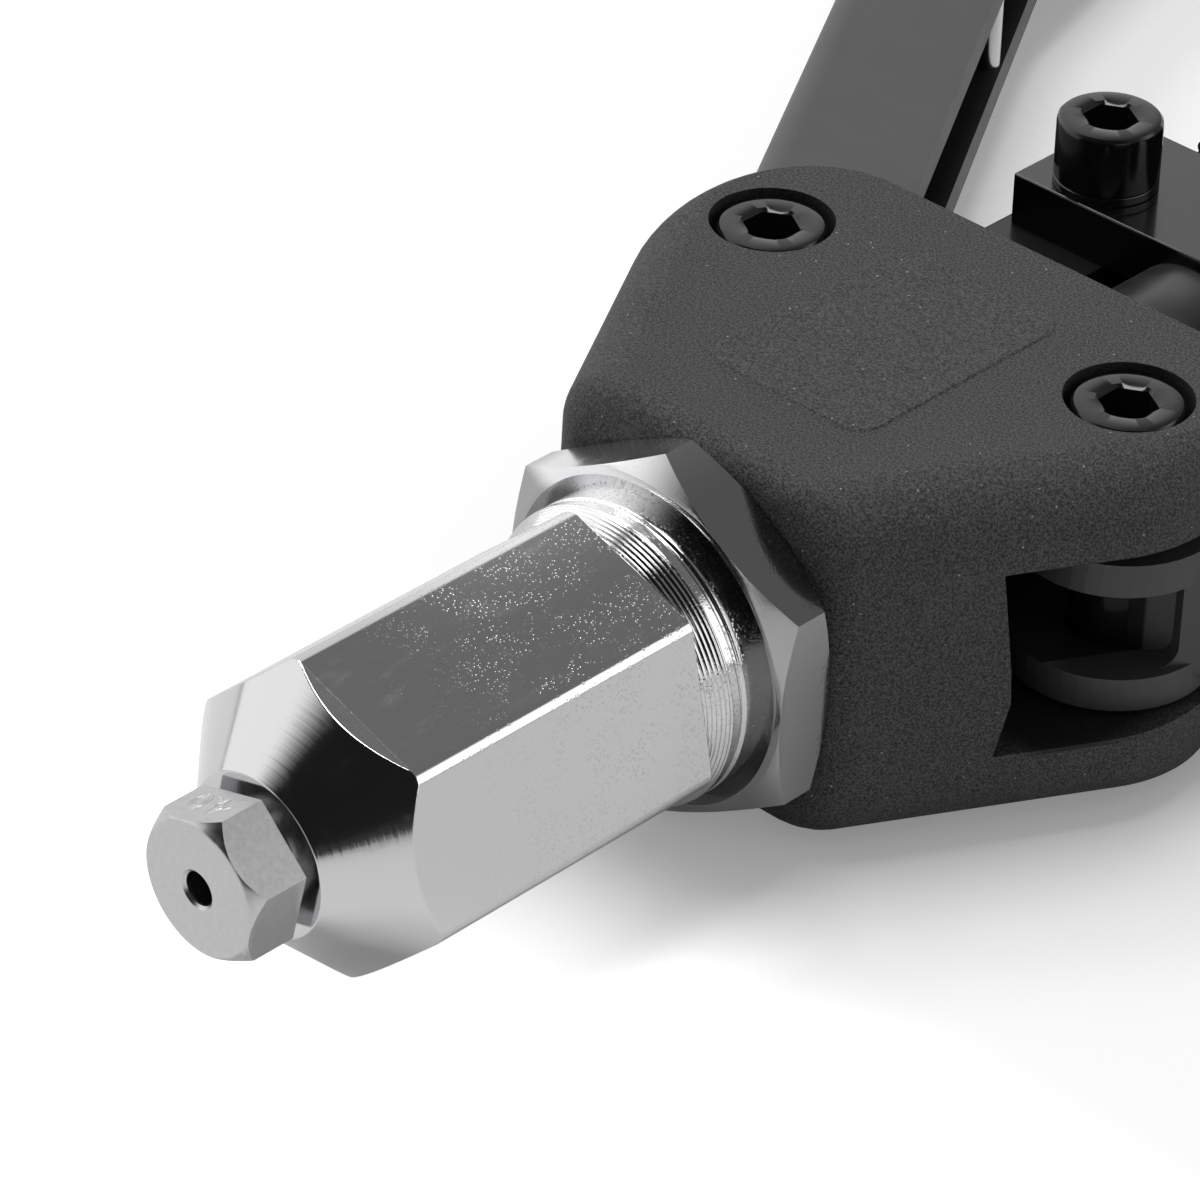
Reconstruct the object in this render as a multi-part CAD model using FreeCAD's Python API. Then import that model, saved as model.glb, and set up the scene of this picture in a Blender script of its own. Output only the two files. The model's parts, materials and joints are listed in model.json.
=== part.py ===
import FreeCAD, Part
import math
import os

# Two-arm lever hand riveter, in millimetres.
# The tool axis runs along Y. The origin is the centre of the nosepiece's front face, +Y is the
# rear, +Z is up when the tool lies flat, and the arms swing in the XY plane.

V = FreeCAD.Vector
ORIGIN = V(0, 0, 0)
AXIS_Y = V(0, 1, 0)
AXIS_Z = V(0, 0, 1)

# Clearances
running_gap = 0.05        # radial, between a shaft and the hole it moves in
side_gap = 0.3            # between faces of bodies that move past each other
screw_gap = 0.1           # radial, between a screw and its clearance hole

# Nosepiece
mandrel_hole_radius = 2.0
nosepiece_across_flats = 16.0
nosepiece_hex_length = 7.2
nosepiece_chamfer_length = 1.6
nosepiece_neck_radius = 6.2
nosepiece_neck_length = 1.3
nosepiece_thread_radius = 5.0
nosepiece_tail_length = 1.0
nosepiece_turn = 13.7

# Nose housing: a hexagon with a turned cone in front and a threaded end behind
housing_across_flats = 33.4
housing_turn = -11.8
housing_face_radius = 9.8
housing_cone_angle = 45.0
housing_bore_depth = 8.5
housing_hex_end = 58.4
housing_thread_radius = 18.0
housing_thread_chamfer = 0.8
housing_thread_depth = 10.0

# Lock nut
lock_nut_wall = 2.7
lock_nut_thickness = 8.0
lock_nut_turn = 2.0
lock_nut_chamfer_angle = 30.0
lock_nut_countersink = 1.8

# Body casting: two plates joined by a front block, drafted both ways from its middle
body_front = 74.0
body_rear = 131.5
body_half_height = 22.8
body_draft = 0.5
flank_angle = 30.0
flank_distance = 16.2     # from each pivot's centre, square to the flank
corner_radius = 20.0
body_edge_radius = 8.5
body_corner_narrowing = 7.0
body_front_edge_radius = 2.0
body_rear_edge = 0.3
draft_shares = (0.4, 0.8)
edge_turns = (0, 15, 30, 45, 60, 73, 84)   # lofted sections round the edge, in degrees
cavity_front = 90.2
cavity_wall_bulge = 1.3
cavity_wall_middle = -4.7
cavity_top = 12.3
cavity_bottom = -11.8
panel_width = 24.0
panel_length = 34.0
panel_corner = 3.0
panel_rise = 0.2
panel_centre = 104.2

# Arm pivots, with M8 socket screws and hexagon nuts
pivot_x = 26.9
pivot_y = 114.7
screw_radius = 4.0
screw_head_radius = 6.5
screw_head_height = 8.0
screw_head_edge = 0.6
socket_across_flats = 6.0
socket_depth = 4.0
counterbore_radius = 7.4
screw_head_sunk = 0.5
nut_across_flats = 13.0
nut_thickness = 6.5
nut_pocket_gap = 0.25
nut_sunk = 0.6
sleeve_radius = 5.0
washer_radius = 9.5

# Arms: pressed channels with round ears at the root and a cam nose between the ears
arm_half_angle = 30.5
arm_closing = 14.5
arm_opening = 60.0
arm_mid_height = -1.4
arm_slot_height = 11.0
flange_thickness = 4.2
ear_radius = 12.0
web_thickness = 4.2
arm_outboard = 10.4
arm_inboard = 10.5
arm_bend_radius = 4.0
web_corner_radius = 2.5
web_start = 4.3
arm_straight = 125.0
crank_radius = 60.0
crank_angle = 14.0
arm_tail = 175.0

# Cam: an involute, so the follower moves in step with the arm's turn
cam_base_radius = 6.5
cam_open_height = 7.0
cam_tip_angle = 0.08
cam_gap = 0.05
cam_points = 9

# Cross pins in the channels
cross_pin_radius = 1.6
cross_pin_along = 98.5
cross_pin_inboard = 8.6
cross_pin_proud = 0.8
cross_pin_head_radius = 1.9

# Grips
grip_length = 130.0
grip_wall = 6.0
grip_corner = 11.0
grip_end_wall = 5.0
grip_ridge = 1.6
grip_ridge_count = 4

# Follower bars and crosshead
bar_inner = 13.5
bar_outer = 29.8
foot_outer = 36.2
foot_length = 8.0
crosshead_front = 160.0
crosshead_depth = 20.5
crosshead_half_width = 28.2
crosshead_thickness = 7.0
crosshead_screw_x = 19.1
crosshead_screw_back = 6.5
washer_thickness = 1.2
crosshead_screw_tail = 1.5

# Pull tube and what it carries
tube_radius = 9.25
tube_bore_radius = 6.5
tube_front = 50.0
tube_neck_radius = 8.5
tube_neck_land = 3.0
case_radius = 13.0
case_front = 24.5
case_rear = 58.0
case_mouth_radius = 5.5
case_cone_angle = 11.0
case_nut_radius = 12.2
case_nut_thickness = 4.0

# Jaws
jaw_set_back = 0.6
jaw_length = 15.0
jaw_hole_radius = 1.6
jaw_slit = 0.8
jaw_count = 3
jaw_gap = 0.05
jaw_seat_radius = 4.6
pusher_radius = 8.4
pusher_hole_radius = 2.6
pusher_collar = 3.0
pusher_spigot_radius = 5.5

# Springs
jaw_spring_wire = 1.0
jaw_spring_radius = 6.8
jaw_spring_turns = 3
return_spring_wire = 1.9
return_spring_radius = 11.2
return_spring_turns = 5

# Mandrel collector
cap_radius = 20.7
cap_length = 13.0
cap_gap = 1.5
cap_ribs = 24
cap_rib_radius = 0.9
bottle_radius = 19.2
bottle_length = 62.0
bottle_shoulder = 9.0
bottle_base_radius = 16.5
bottle_wall = 1.6
bottle_insert = 7.0

# Sizes that follow from the driving ones
nosepiece_hex_front = 0.0
lock_nut_across_flats = 2 * (housing_thread_radius + lock_nut_wall)
housing_front = nosepiece_hex_length + nosepiece_neck_length
housing_corner_radius = housing_across_flats / 2 / math.cos(math.radians(30))
housing_bore_radius = case_radius + running_gap
housing_bore_front = housing_front + housing_bore_depth
housing_rear = body_front + housing_thread_depth
lock_nut_front = body_front - lock_nut_thickness
slot_top = arm_mid_height + arm_slot_height / 2
slot_bottom = arm_mid_height - arm_slot_height / 2
flange_top = slot_top + flange_thickness
flange_bottom = slot_bottom - flange_thickness
sleeve_top = body_half_height - screw_head_sunk - screw_head_height
nut_seat = -body_half_height + nut_sunk + nut_thickness
bar_top = slot_top - side_gap
bar_bottom = slot_bottom + side_gap
top_plate_top = bar_top + crosshead_thickness
bottom_plate_bottom = bar_bottom - crosshead_thickness
crosshead_rear = crosshead_front + crosshead_depth
crosshead_screw_y = crosshead_front + crosshead_screw_back
closed_height = cam_open_height + cam_base_radius * math.radians(arm_closing + arm_opening)
rest_height = cam_open_height + cam_base_radius * math.radians(arm_opening)
foot_front = pivot_y + rest_height + cam_gap
cap_front = crosshead_rear + cap_gap
tube_rear = cap_front + cap_length - bottle_insert
guide_radius = tube_radius + running_gap


def box(x0, x1, y0, y1, z0, z1):
    """A box between two corners."""
    return Part.makeBox(x1 - x0, y1 - y0, z1 - z0, V(x0, y0, z0))


def cylinder_y(radius, y0, y1):
    """A cylinder on the tool axis."""
    return Part.makeCylinder(radius, y1 - y0, V(0, y0, 0), AXIS_Y)


def cylinder_z(x, y, radius, z0, z1):
    """An upright cylinder."""
    return Part.makeCylinder(radius, z1 - z0, V(x, y, z0), AXIS_Z)


def turned(profile):
    """A solid turned about the tool axis from (radius, y) points."""
    points = [V(radius, y, 0) for radius, y in profile]
    face = Part.Face(Part.makePolygon(points + points[:1]))
    return face.revolve(ORIGIN, AXIS_Y, 360)


def hexagon_y(across_flats, y0, y1, turn):
    """A hexagonal bar on the tool axis, its corners turned from straight up towards +X."""
    radius = across_flats / 2 / math.cos(math.radians(30))
    corners = []
    for k in range(7):
        angle = math.radians(turn + 60 * k)
        corners.append(V(radius * math.sin(angle), y0, radius * math.cos(angle)))
    return Part.Face(Part.makePolygon(corners)).extrude(V(0, y1 - y0, 0))


def hexagon_z(x, y, across_flats, z0, z1):
    """An upright hexagonal bar."""
    radius = across_flats / 2 / math.cos(math.radians(30))
    corners = []
    for k in range(7):
        angle = math.radians(60 * k)
        corners.append(V(x + radius * math.cos(angle), y + radius * math.sin(angle), z0))
    return Part.Face(Part.makePolygon(corners)).extrude(V(0, 0, z1 - z0))


def rounded_rectangle(x0, x1, y0, y1, z, radius):
    """A flat rounded rectangle at a height."""
    plate = box(x0, x1, y0, y1, z, z + 1)
    upright = [e for e in plate.Edges if abs(e.tangentAt(e.FirstParameter).z) > 0.9]
    rounded = plate.makeFillet(radius, upright)
    return [f for f in rounded.Faces if f.CenterOfMass.z < z + 0.001][0]


def mirrored(shape):
    """The same piece on the other side of the tool."""
    return shape.mirror(ORIGIN, V(1, 0, 0))


def both_sides(shape):
    """A piece and its mirror image as two solids."""
    return Part.makeCompound([shape, mirrored(shape)])


def rad(degrees):
    return math.radians(degrees)


def nosepiece():
    """Hexagonal nosepiece with a chamfered face, a neck and a threaded shank."""
    flat = nosepiece_across_flats / 2
    corner = flat / math.cos(rad(30))
    tail = housing_bore_front + nosepiece_tail_length
    outer = turned([
        (0, nosepiece_hex_front), (flat, nosepiece_hex_front),
        (corner, nosepiece_hex_front + nosepiece_chamfer_length),
        (corner, nosepiece_hex_length), (0, nosepiece_hex_length)])
    head = outer.common(hexagon_y(nosepiece_across_flats, nosepiece_hex_front, nosepiece_hex_length,
                                  nosepiece_turn))
    shank = turned([
        (0, nosepiece_hex_length), (nosepiece_neck_radius, nosepiece_hex_length),
        (nosepiece_neck_radius, housing_front), (nosepiece_thread_radius, housing_front),
        (nosepiece_thread_radius, housing_bore_front), (mandrel_hole_radius + 1.2, tail), (0, tail)])
    return head.fuse(shank).cut(cylinder_y(mandrel_hole_radius, nosepiece_hex_front - 1, tail + 1))


def nose_housing():
    """Hexagonal sleeve with a turned cone in front and a thread for the body behind."""
    cone_end = housing_front + (housing_corner_radius - housing_face_radius) \
        / math.tan(rad(housing_cone_angle))
    blank = turned([
        (0, housing_front), (housing_face_radius, housing_front), (housing_corner_radius, cone_end),
        (housing_corner_radius, housing_hex_end), (0, housing_hex_end)])
    hexagon = blank.common(hexagon_y(housing_across_flats, housing_front, housing_hex_end, housing_turn))
    thread_end = housing_thread_radius - housing_thread_chamfer
    thread = turned([
        (0, housing_hex_end), (housing_thread_radius, housing_hex_end),
        (housing_thread_radius, housing_rear - housing_thread_chamfer), (thread_end, housing_rear),
        (0, housing_rear)])
    bore = cylinder_y(housing_bore_radius, housing_bore_front, housing_rear + 1)
    front_hole = cylinder_y(nosepiece_thread_radius, housing_front - 1, housing_bore_front + 1)
    return hexagon.fuse(thread).cut(bore).cut(front_hole)


def lock_nut():
    """Thin hexagon nut, chamfered on both faces, that locks the housing against the body."""
    flat = lock_nut_across_flats / 2
    corner = flat / math.cos(rad(30))
    chamfer = (corner - flat) * math.tan(rad(lock_nut_chamfer_angle))
    blank = turned([
        (0, lock_nut_front), (flat, lock_nut_front), (corner, lock_nut_front + chamfer),
        (corner, body_front - chamfer), (flat, body_front), (0, body_front)])
    nut = blank.common(hexagon_y(lock_nut_across_flats, lock_nut_front, body_front, lock_nut_turn))
    mouth = turned([
        (0, lock_nut_front - 1), (housing_thread_radius + lock_nut_countersink + 1, lock_nut_front - 1),
        (housing_thread_radius, lock_nut_front + lock_nut_countersink),
        (0, lock_nut_front + lock_nut_countersink)])
    return nut.cut(mouth).cut(cylinder_y(housing_thread_radius, lock_nut_front - 1, body_front + 1))


def body_outline(z, flank_inset, rear_inset, radius):
    """Plan outline of the body at a height: flanks beside the pivots, round rear corners."""
    slope = rad(flank_angle)
    rear_y = body_rear - rear_inset
    centre_y = rear_y - radius
    centre_x = pivot_x + (flank_distance - flank_inset - radius
                          + (centre_y - pivot_y) * math.sin(slope)) / math.cos(slope)
    middle = math.pi / 4 - slope / 2
    flank_end = V(centre_x + radius * math.cos(slope), centre_y - radius * math.sin(slope), z)
    arc_middle = V(centre_x + radius * math.cos(middle), centre_y + radius * math.sin(middle), z)
    rear = V(centre_x, rear_y, z)
    front = V(flank_end.x - (flank_end.y - body_front) * math.tan(slope), body_front, z)

    def other(p):
        return V(-p.x, p.y, p.z)

    return Part.Wire([
        Part.makeLine(other(front), front),
        Part.makeLine(front, flank_end),
        Part.Arc(flank_end, arc_middle, rear).toShape(),
        Part.makeLine(rear, other(rear)),
        Part.Arc(other(rear), other(arc_middle), other(flank_end)).toShape(),
        Part.makeLine(other(flank_end), other(front))])


def body_section(turn):
    """Outline of the body part of the way round its top edge, its side being at 0 degrees."""
    across = 1 - math.cos(rad(turn))
    z = body_half_height - body_edge_radius * (math.sin(rad(edge_turns[-1])) - math.sin(rad(turn)))
    return body_outline(z, body_draft + body_edge_radius * across, body_rear_edge * across,
                        corner_radius - body_draft - body_corner_narrowing * across)


def body_blank():
    """The casting's outside: one loft from the middle over the rounded edge, and its mirror image."""
    middle = body_outline(0, 0, 0, corner_radius)
    start = body_section(edge_turns[0])
    height = start.BoundBox.ZMin
    drafted = [body_outline(height * share, body_draft * share, 0, corner_radius - body_draft * share)
               for share in draft_shares]
    sections = [middle] + drafted + [body_section(turn) for turn in edge_turns]
    upper = Part.makeLoft(sections, True, False)
    front = [e for e in upper.Edges
             if e.BoundBox.ZMin > body_half_height - 0.01 and e.BoundBox.YMax < body_front + 0.01]
    upper = upper.makeFillet(body_front_edge_radius, front)
    return upper.fuse(upper.mirror(ORIGIN, AXIS_Z))


def body_cavity():
    """Space between the plates, open to both sides and the rear, its front wall drafted."""
    points = [(body_rear + 1, cavity_bottom), (cavity_front, cavity_bottom),
              (cavity_front + cavity_wall_bulge, cavity_wall_middle), (cavity_front, cavity_top),
              (body_rear + 1, cavity_top)]
    wide = pivot_x + 2 * corner_radius
    corners = [V(-wide, y, z) for y, z in points]
    return Part.Face(Part.makePolygon(corners + corners[:1])).extrude(V(2 * wide, 0, 0))


def body_casting():
    """Black casting: front block, two plates, flank windows, screw seats and a low panel on top."""
    body = body_blank().cut(body_cavity())
    body = body.cut(cylinder_y(housing_thread_radius, body_front - 1, housing_rear))
    body = body.cut(cylinder_y(guide_radius, body_front, body_rear))
    for side in (-1, 1):
        x = side * pivot_x
        body = body.cut(cylinder_z(x, pivot_y, sleeve_radius, -body_half_height, body_half_height))
        body = body.cut(cylinder_z(x, pivot_y, counterbore_radius, sleeve_top, body_half_height + 1))
        body = body.cut(hexagon_z(x, pivot_y, nut_across_flats + 2 * nut_pocket_gap,
                                  -body_half_height - 1, nut_seat))
    root = body_half_height - 1
    panel = rounded_rectangle(-panel_width / 2, panel_width / 2, panel_centre - panel_length / 2,
                              panel_centre + panel_length / 2, root, panel_corner)
    return body.fuse(panel.extrude(V(0, 0, body_half_height + panel_rise - root)))


def socket_screw(x, y, seat, bottom):
    """Socket head screw with its head's underside on a seat and its end at a height."""
    head_top = seat + screw_head_height
    head = cylinder_z(x, y, screw_head_radius, seat, head_top)
    rim = [e for e in head.Edges if abs(e.BoundBox.ZMin - head_top) < 0.01]
    head = head.makeChamfer(screw_head_edge, rim)
    head = head.cut(hexagon_z(x, y, socket_across_flats, head_top - socket_depth, head_top + 1))
    return head.fuse(cylinder_z(x, y, screw_radius, bottom, seat))


def hexagon_nut(x, y, bottom):
    """Hexagon nut on an upright screw."""
    flat = nut_across_flats / 2
    corner = flat / math.cos(rad(30))
    chamfer = (corner - flat) * math.tan(rad(30))
    top = bottom + nut_thickness
    profile = [V(0, 0, bottom), V(flat, 0, bottom), V(corner, 0, bottom + chamfer),
               V(corner, 0, top - chamfer), V(flat, 0, top), V(0, 0, top)]
    blank = Part.Face(Part.makePolygon(profile + profile[:1])).revolve(ORIGIN, AXIS_Z, 360)
    blank.translate(V(x, y, 0))
    nut = blank.common(hexagon_z(x, y, nut_across_flats, bottom, top))
    return nut.cut(cylinder_z(x, y, screw_radius, bottom - 1, top + 1))


def ring_z(x, y, outer, inner, z0, z1):
    return cylinder_z(x, y, outer, z0, z1).cut(cylinder_z(x, y, inner, z0 - 1, z1 + 1))


def arm_point(along, inboard):
    """A point of the left arm, from its own two directions to the tool's frame."""
    turn = rad(arm_half_angle)
    x = -pivot_x - along * math.sin(turn) + inboard * math.cos(turn)
    y = pivot_y + along * math.cos(turn) + inboard * math.sin(turn)
    return V(x, y, 0)


def cam_contact(height, half_angle):
    """Where the cam touches the follower, in the arm's own directions, for an arm angle."""
    turn = rad(half_angle)
    along = cam_base_radius * math.sin(turn) + height * math.cos(turn)
    inboard = -cam_base_radius * math.cos(turn) + height * math.sin(turn)
    return along, inboard


def cam_nose():
    """Involute cam between the ears: it pushes the follower straight back as the arm closes."""
    open_angle = arm_half_angle + arm_opening
    travel = arm_closing + arm_opening + math.degrees(cam_tip_angle)
    flank = []
    for k in range(cam_points):
        turned_by = travel * k / (cam_points - 1)
        height = cam_open_height + cam_base_radius * rad(turned_by)
        flank.append(arm_point(*cam_contact(height, open_angle - turned_by)))
    curve = Part.BSplineCurve()
    curve.interpolate(flank)
    web_middle = -arm_outboard + web_thickness / 2
    tip_along = cam_contact(closed_height, arm_half_angle - arm_closing)[0]
    corners = [flank[-1], arm_point(tip_along, web_middle), arm_point(web_start, web_middle),
               arm_point(0, -sleeve_radius), arm_point(0, cam_open_height - side_gap),
               flank[0]]
    edges = [curve.toShape()] + [Part.makeLine(a, b) for a, b in zip(corners, corners[1:])]
    face = Part.Face(Part.Wire(edges))
    nose = face.extrude(V(0, 0, arm_slot_height))
    nose.translate(V(0, 0, slot_bottom))
    return nose


def channel_section():
    """U section of the arm, open towards the tool axis, across the arm at its pivot."""
    width = arm_outboard + arm_inboard
    outer = box(-arm_outboard, arm_inboard, 0, 1, flange_bottom, flange_top)
    corners = [e for e in outer.Edges
               if abs(e.tangentAt(e.FirstParameter).y) > 0.9 and e.CenterOfMass.x < 0]
    outer = outer.makeFillet(arm_bend_radius, corners)
    inner = box(-arm_outboard + web_thickness, width, -1, 2, slot_bottom, slot_top)
    section = [f for f in outer.cut(inner).Faces if f.CenterOfMass.y < 0.001][0]
    return section


def placed_arm(shape):
    """Turns a shape built along +Y from the pivot to the left arm's own place."""
    shape.rotate(ORIGIN, AXIS_Z, arm_half_angle)
    shape.translate(V(-pivot_x, pivot_y, 0))
    return shape


def crank_frame(shape):
    """Moves a shape built at the pivot end to the far side of the arm's crank."""
    centre = V(crank_radius, arm_straight, 0)
    shape.translate(V(0, arm_straight, 0))
    shape.rotate(centre, AXIS_Z, -crank_angle)
    return shape


def arm():
    """Left arm: round ears, cam nose, channel, crank and the tail that the grip covers."""
    section = channel_section()
    straight = section.extrude(V(0, arm_straight, 0))
    bend_face = section.copy()
    bend_face.translate(V(0, arm_straight, 0))
    bend = bend_face.revolve(V(crank_radius, arm_straight, 0), V(0, 0, -1), crank_angle)
    tail = crank_frame(section.extrude(V(0, arm_tail, 0)))
    channel = straight.fuse([bend, tail])
    open_front = box(-arm_outboard - 1, arm_inboard + 1, -1, web_start, slot_bottom, slot_top)
    foot = [e for e in open_front.Edges
            if abs(e.tangentAt(e.FirstParameter).x) > 0.9 and e.CenterOfMass.y > web_start - 0.01
            and e.CenterOfMass.z < arm_mid_height]
    open_front = open_front.makeFillet(web_corner_radius, foot)
    channel = channel.cut(open_front)
    ears = cylinder_z(0, 0, ear_radius, slot_top, flange_top).fuse(
        cylinder_z(0, 0, ear_radius, flange_bottom, slot_bottom))
    shape = placed_arm(channel.fuse(ears)).fuse(cam_nose())
    hole = cylinder_z(-pivot_x, pivot_y, sleeve_radius + running_gap, flange_bottom - 1, flange_top + 1)
    pin = arm_point(cross_pin_along, cross_pin_inboard)
    pin_hole = cylinder_z(pin.x, pin.y, cross_pin_radius, flange_bottom - 1, flange_top + 1)
    return shape.cut(hole).cut(pin_hole).removeSplitter()


def arm_pin():
    """Riveted cross pin that ties the channel's two flanges together near their open edge."""
    pin = arm_point(cross_pin_along, cross_pin_inboard)
    shank = cylinder_z(pin.x, pin.y, cross_pin_radius, flange_bottom, flange_top)
    upper = cylinder_z(pin.x, pin.y, cross_pin_head_radius, flange_top, flange_top + cross_pin_proud)
    lower = cylinder_z(pin.x, pin.y, cross_pin_head_radius, flange_bottom - cross_pin_proud, flange_bottom)
    return shank.fuse([upper, lower])


def grip():
    """Rubber grip: a rounded sleeve with end ridges, closed at its far end, filling the channel."""
    x0 = -arm_outboard - grip_wall
    x1 = arm_inboard + grip_wall
    z0 = flange_bottom - grip_wall
    z1 = flange_top + grip_wall
    start = arm_tail - grip_length + grip_end_wall
    end = arm_tail + grip_end_wall

    def sleeve(y0, y1, grow):
        block = box(x0 - grow, x1 + grow, y0, y1, z0 - grow, z1 + grow)
        along = [e for e in block.Edges if abs(e.tangentAt(e.FirstParameter).y) > 0.9]
        return block.makeFillet(grip_corner, along)

    shape = sleeve(start, end, 0)
    ends = [e for e in shape.Edges if abs(e.BoundBox.YMax - end) < 0.01 and abs(e.BoundBox.YMin - end) < 0.01]
    shape = shape.makeFillet(grip_ridge * 2, ends)
    ridges = []
    for k in range(grip_ridge_count):
        y0 = start + 2 * grip_ridge * k
        ridges.append(sleeve(y0, y0 + grip_ridge, grip_ridge))
    shape = shape.fuse(ridges)
    core = channel_section().extrude(V(0, arm_tail, 0))
    return placed_arm(crank_frame(shape.cut(core)))


def follower_bar():
    """Right follower bar, with a foot turned outwards for the cam and a hole for the crosshead screw."""
    bar = box(bar_inner, bar_outer, foot_front, crosshead_rear, bar_bottom, bar_top)
    foot = box(bar_inner, foot_outer, foot_front, foot_front + foot_length, bar_bottom, bar_top)
    shape = bar.fuse(foot).removeSplitter()
    rear = [e for e in shape.Edges
            if abs(e.BoundBox.YMin - foot_front - foot_length) < 0.01
            and abs(e.BoundBox.XMin - foot_outer) < 0.01 and e.BoundBox.ZLength > 1]
    shape = shape.makeFillet(foot_length / 2, rear)
    return shape.cut(cylinder_z(crosshead_screw_x, crosshead_screw_y, screw_radius + screw_gap,
                                bar_bottom - 1, bar_top + 1))


def crosshead_plate(z0, z1):
    """Crosshead plate with screw holes and a stepped half-round seat for the pull tube."""
    plate = box(-crosshead_half_width, crosshead_half_width, crosshead_front, crosshead_rear, z0, z1)
    land = tube_neck_land
    plate = plate.cut(cylinder_y(tube_neck_radius, crosshead_front - 1, crosshead_rear + 1))
    plate = plate.cut(cylinder_y(tube_radius, crosshead_front - 1, crosshead_front + land))
    plate = plate.cut(cylinder_y(tube_radius, crosshead_rear - land, crosshead_rear + 1))
    for side in (-1, 1):
        plate = plate.cut(cylinder_z(side * crosshead_screw_x, crosshead_screw_y,
                                     screw_radius + screw_gap, z0 - 1, z1 + 1))
    return plate


def pull_tube():
    """Hollow pull tube: it draws the jaw case back and lets spent mandrels through."""
    land = tube_neck_land
    outer = turned([
        (0, tube_front), (tube_radius, tube_front), (tube_radius, crosshead_front + land),
        (tube_neck_radius, crosshead_front + land), (tube_neck_radius, crosshead_rear - land),
        (tube_radius, crosshead_rear - land), (tube_radius, tube_rear), (0, tube_rear)])
    return outer.cut(cylinder_y(tube_bore_radius, tube_front - 1, tube_rear + 1))


def cone_radius(y):
    """Radius of the jaw case's inner cone at a place on the axis."""
    return case_mouth_radius + (y - case_front) * math.tan(rad(case_cone_angle))


def jaw_case():
    """Jaw case: a sliding sleeve with a cone inside that closes the jaws."""
    cone_end = case_front + (tube_radius - case_mouth_radius) / math.tan(rad(case_cone_angle))
    outer = turned([
        (0, case_front), (case_radius - 1, case_front), (case_radius, case_front + 1),
        (case_radius, case_rear), (0, case_rear)])
    inner = turned([
        (0, case_front - 1), (cone_radius(case_front - 1), case_front - 1),
        (tube_radius, cone_end), (tube_radius, case_rear + 1), (0, case_rear + 1)])
    return outer.cut(inner)


def case_lock_nut():
    """Round nut that locks the jaw case on the pull tube."""
    blank = cylinder_y(case_nut_radius, case_rear, case_rear + case_nut_thickness)
    blank = blank.cut(cylinder_y(tube_radius, case_rear - 1, case_rear + case_nut_thickness + 1))
    width = case_nut_radius / 4
    for k in range(4):
        slot = box(-width / 2, width / 2, case_rear - 1, case_rear + case_nut_thickness + 1,
                   case_nut_radius - 1.2, case_nut_radius + 1)
        slot.rotate(ORIGIN, AXIS_Y, 90 * k)
        blank = blank.cut(slot)
    return blank


def jaws():
    """Three jaw segments that lie in the case's cone round the mandrel."""
    front = case_front + jaw_set_back
    rear = front + jaw_length
    seat_depth = jaw_seat_radius - jaw_hole_radius
    blank = turned([
        (jaw_hole_radius, front), (cone_radius(front) - jaw_gap, front),
        (cone_radius(rear) - jaw_gap, rear), (jaw_seat_radius, rear), (jaw_hole_radius, rear - seat_depth)])
    for k in range(jaw_count):
        slit = box(-jaw_slit / 2, jaw_slit / 2, front - 1, rear + 1, 0, case_radius)
        slit.rotate(ORIGIN, AXIS_Y, 360 * k / jaw_count)
        blank = blank.cut(slit)
    return blank


def jaw_pusher():
    """Pusher with a cone that spreads the jaws and a collar for its spring."""
    rear = case_front + jaw_set_back + jaw_length
    tip = rear - (jaw_seat_radius - pusher_hole_radius)
    outer = turned([
        (0, tip), (pusher_hole_radius, tip), (jaw_seat_radius, rear), (pusher_radius, rear),
        (pusher_radius, rear + pusher_collar), (pusher_spigot_radius, rear + pusher_collar),
        (pusher_spigot_radius, rear + 2 * pusher_collar), (0, rear + 2 * pusher_collar)])
    return outer.cut(cylinder_y(pusher_hole_radius, tip - 1, rear + 2 * pusher_collar + 1))


def spring(radius, wire, y0, y1, turns):
    """Compression spring as wire rings at even pitch, joined by slanted links of the same wire."""
    rings = []
    pitch = (y1 - y0 - 2 * wire) / (turns - 1)
    for k in range(turns):
        ring = Part.makeTorus(radius, wire, V(0, y0 + wire + pitch * k, 0), AXIS_Y)
        rings.append(ring)
    shape = rings[0]
    for k in range(turns - 1):
        start = V(0, y0 + wire + pitch * k, radius)
        link = Part.makeCylinder(wire * 0.8, pitch, start, AXIS_Y)
        link.rotate(ORIGIN, AXIS_Y, 180 * k)
        shape = shape.fuse([rings[k + 1], link])
    return shape


def collector_cap():
    """Ribbed cap on the pull tube's end that holds the collector bottle."""
    rear = cap_front + cap_length
    cap = cylinder_y(cap_radius - cap_rib_radius, cap_front, rear)
    ribs = []
    for k in range(cap_ribs):
        angle = rad(360 * k / cap_ribs)
        centre = V((cap_radius - cap_rib_radius) * math.sin(angle), cap_front + cap_rib_radius,
                   (cap_radius - cap_rib_radius) * math.cos(angle))
        ribs.append(Part.makeCylinder(cap_rib_radius, cap_length - 2 * cap_rib_radius, centre, AXIS_Y))
    cap = cap.fuse(ribs)
    cap = cap.cut(cylinder_y(tube_radius, cap_front - 1, rear + 1))
    return cap.cut(cylinder_y(bottle_radius - bottle_wall, rear - bottle_insert, rear + 1))


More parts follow.
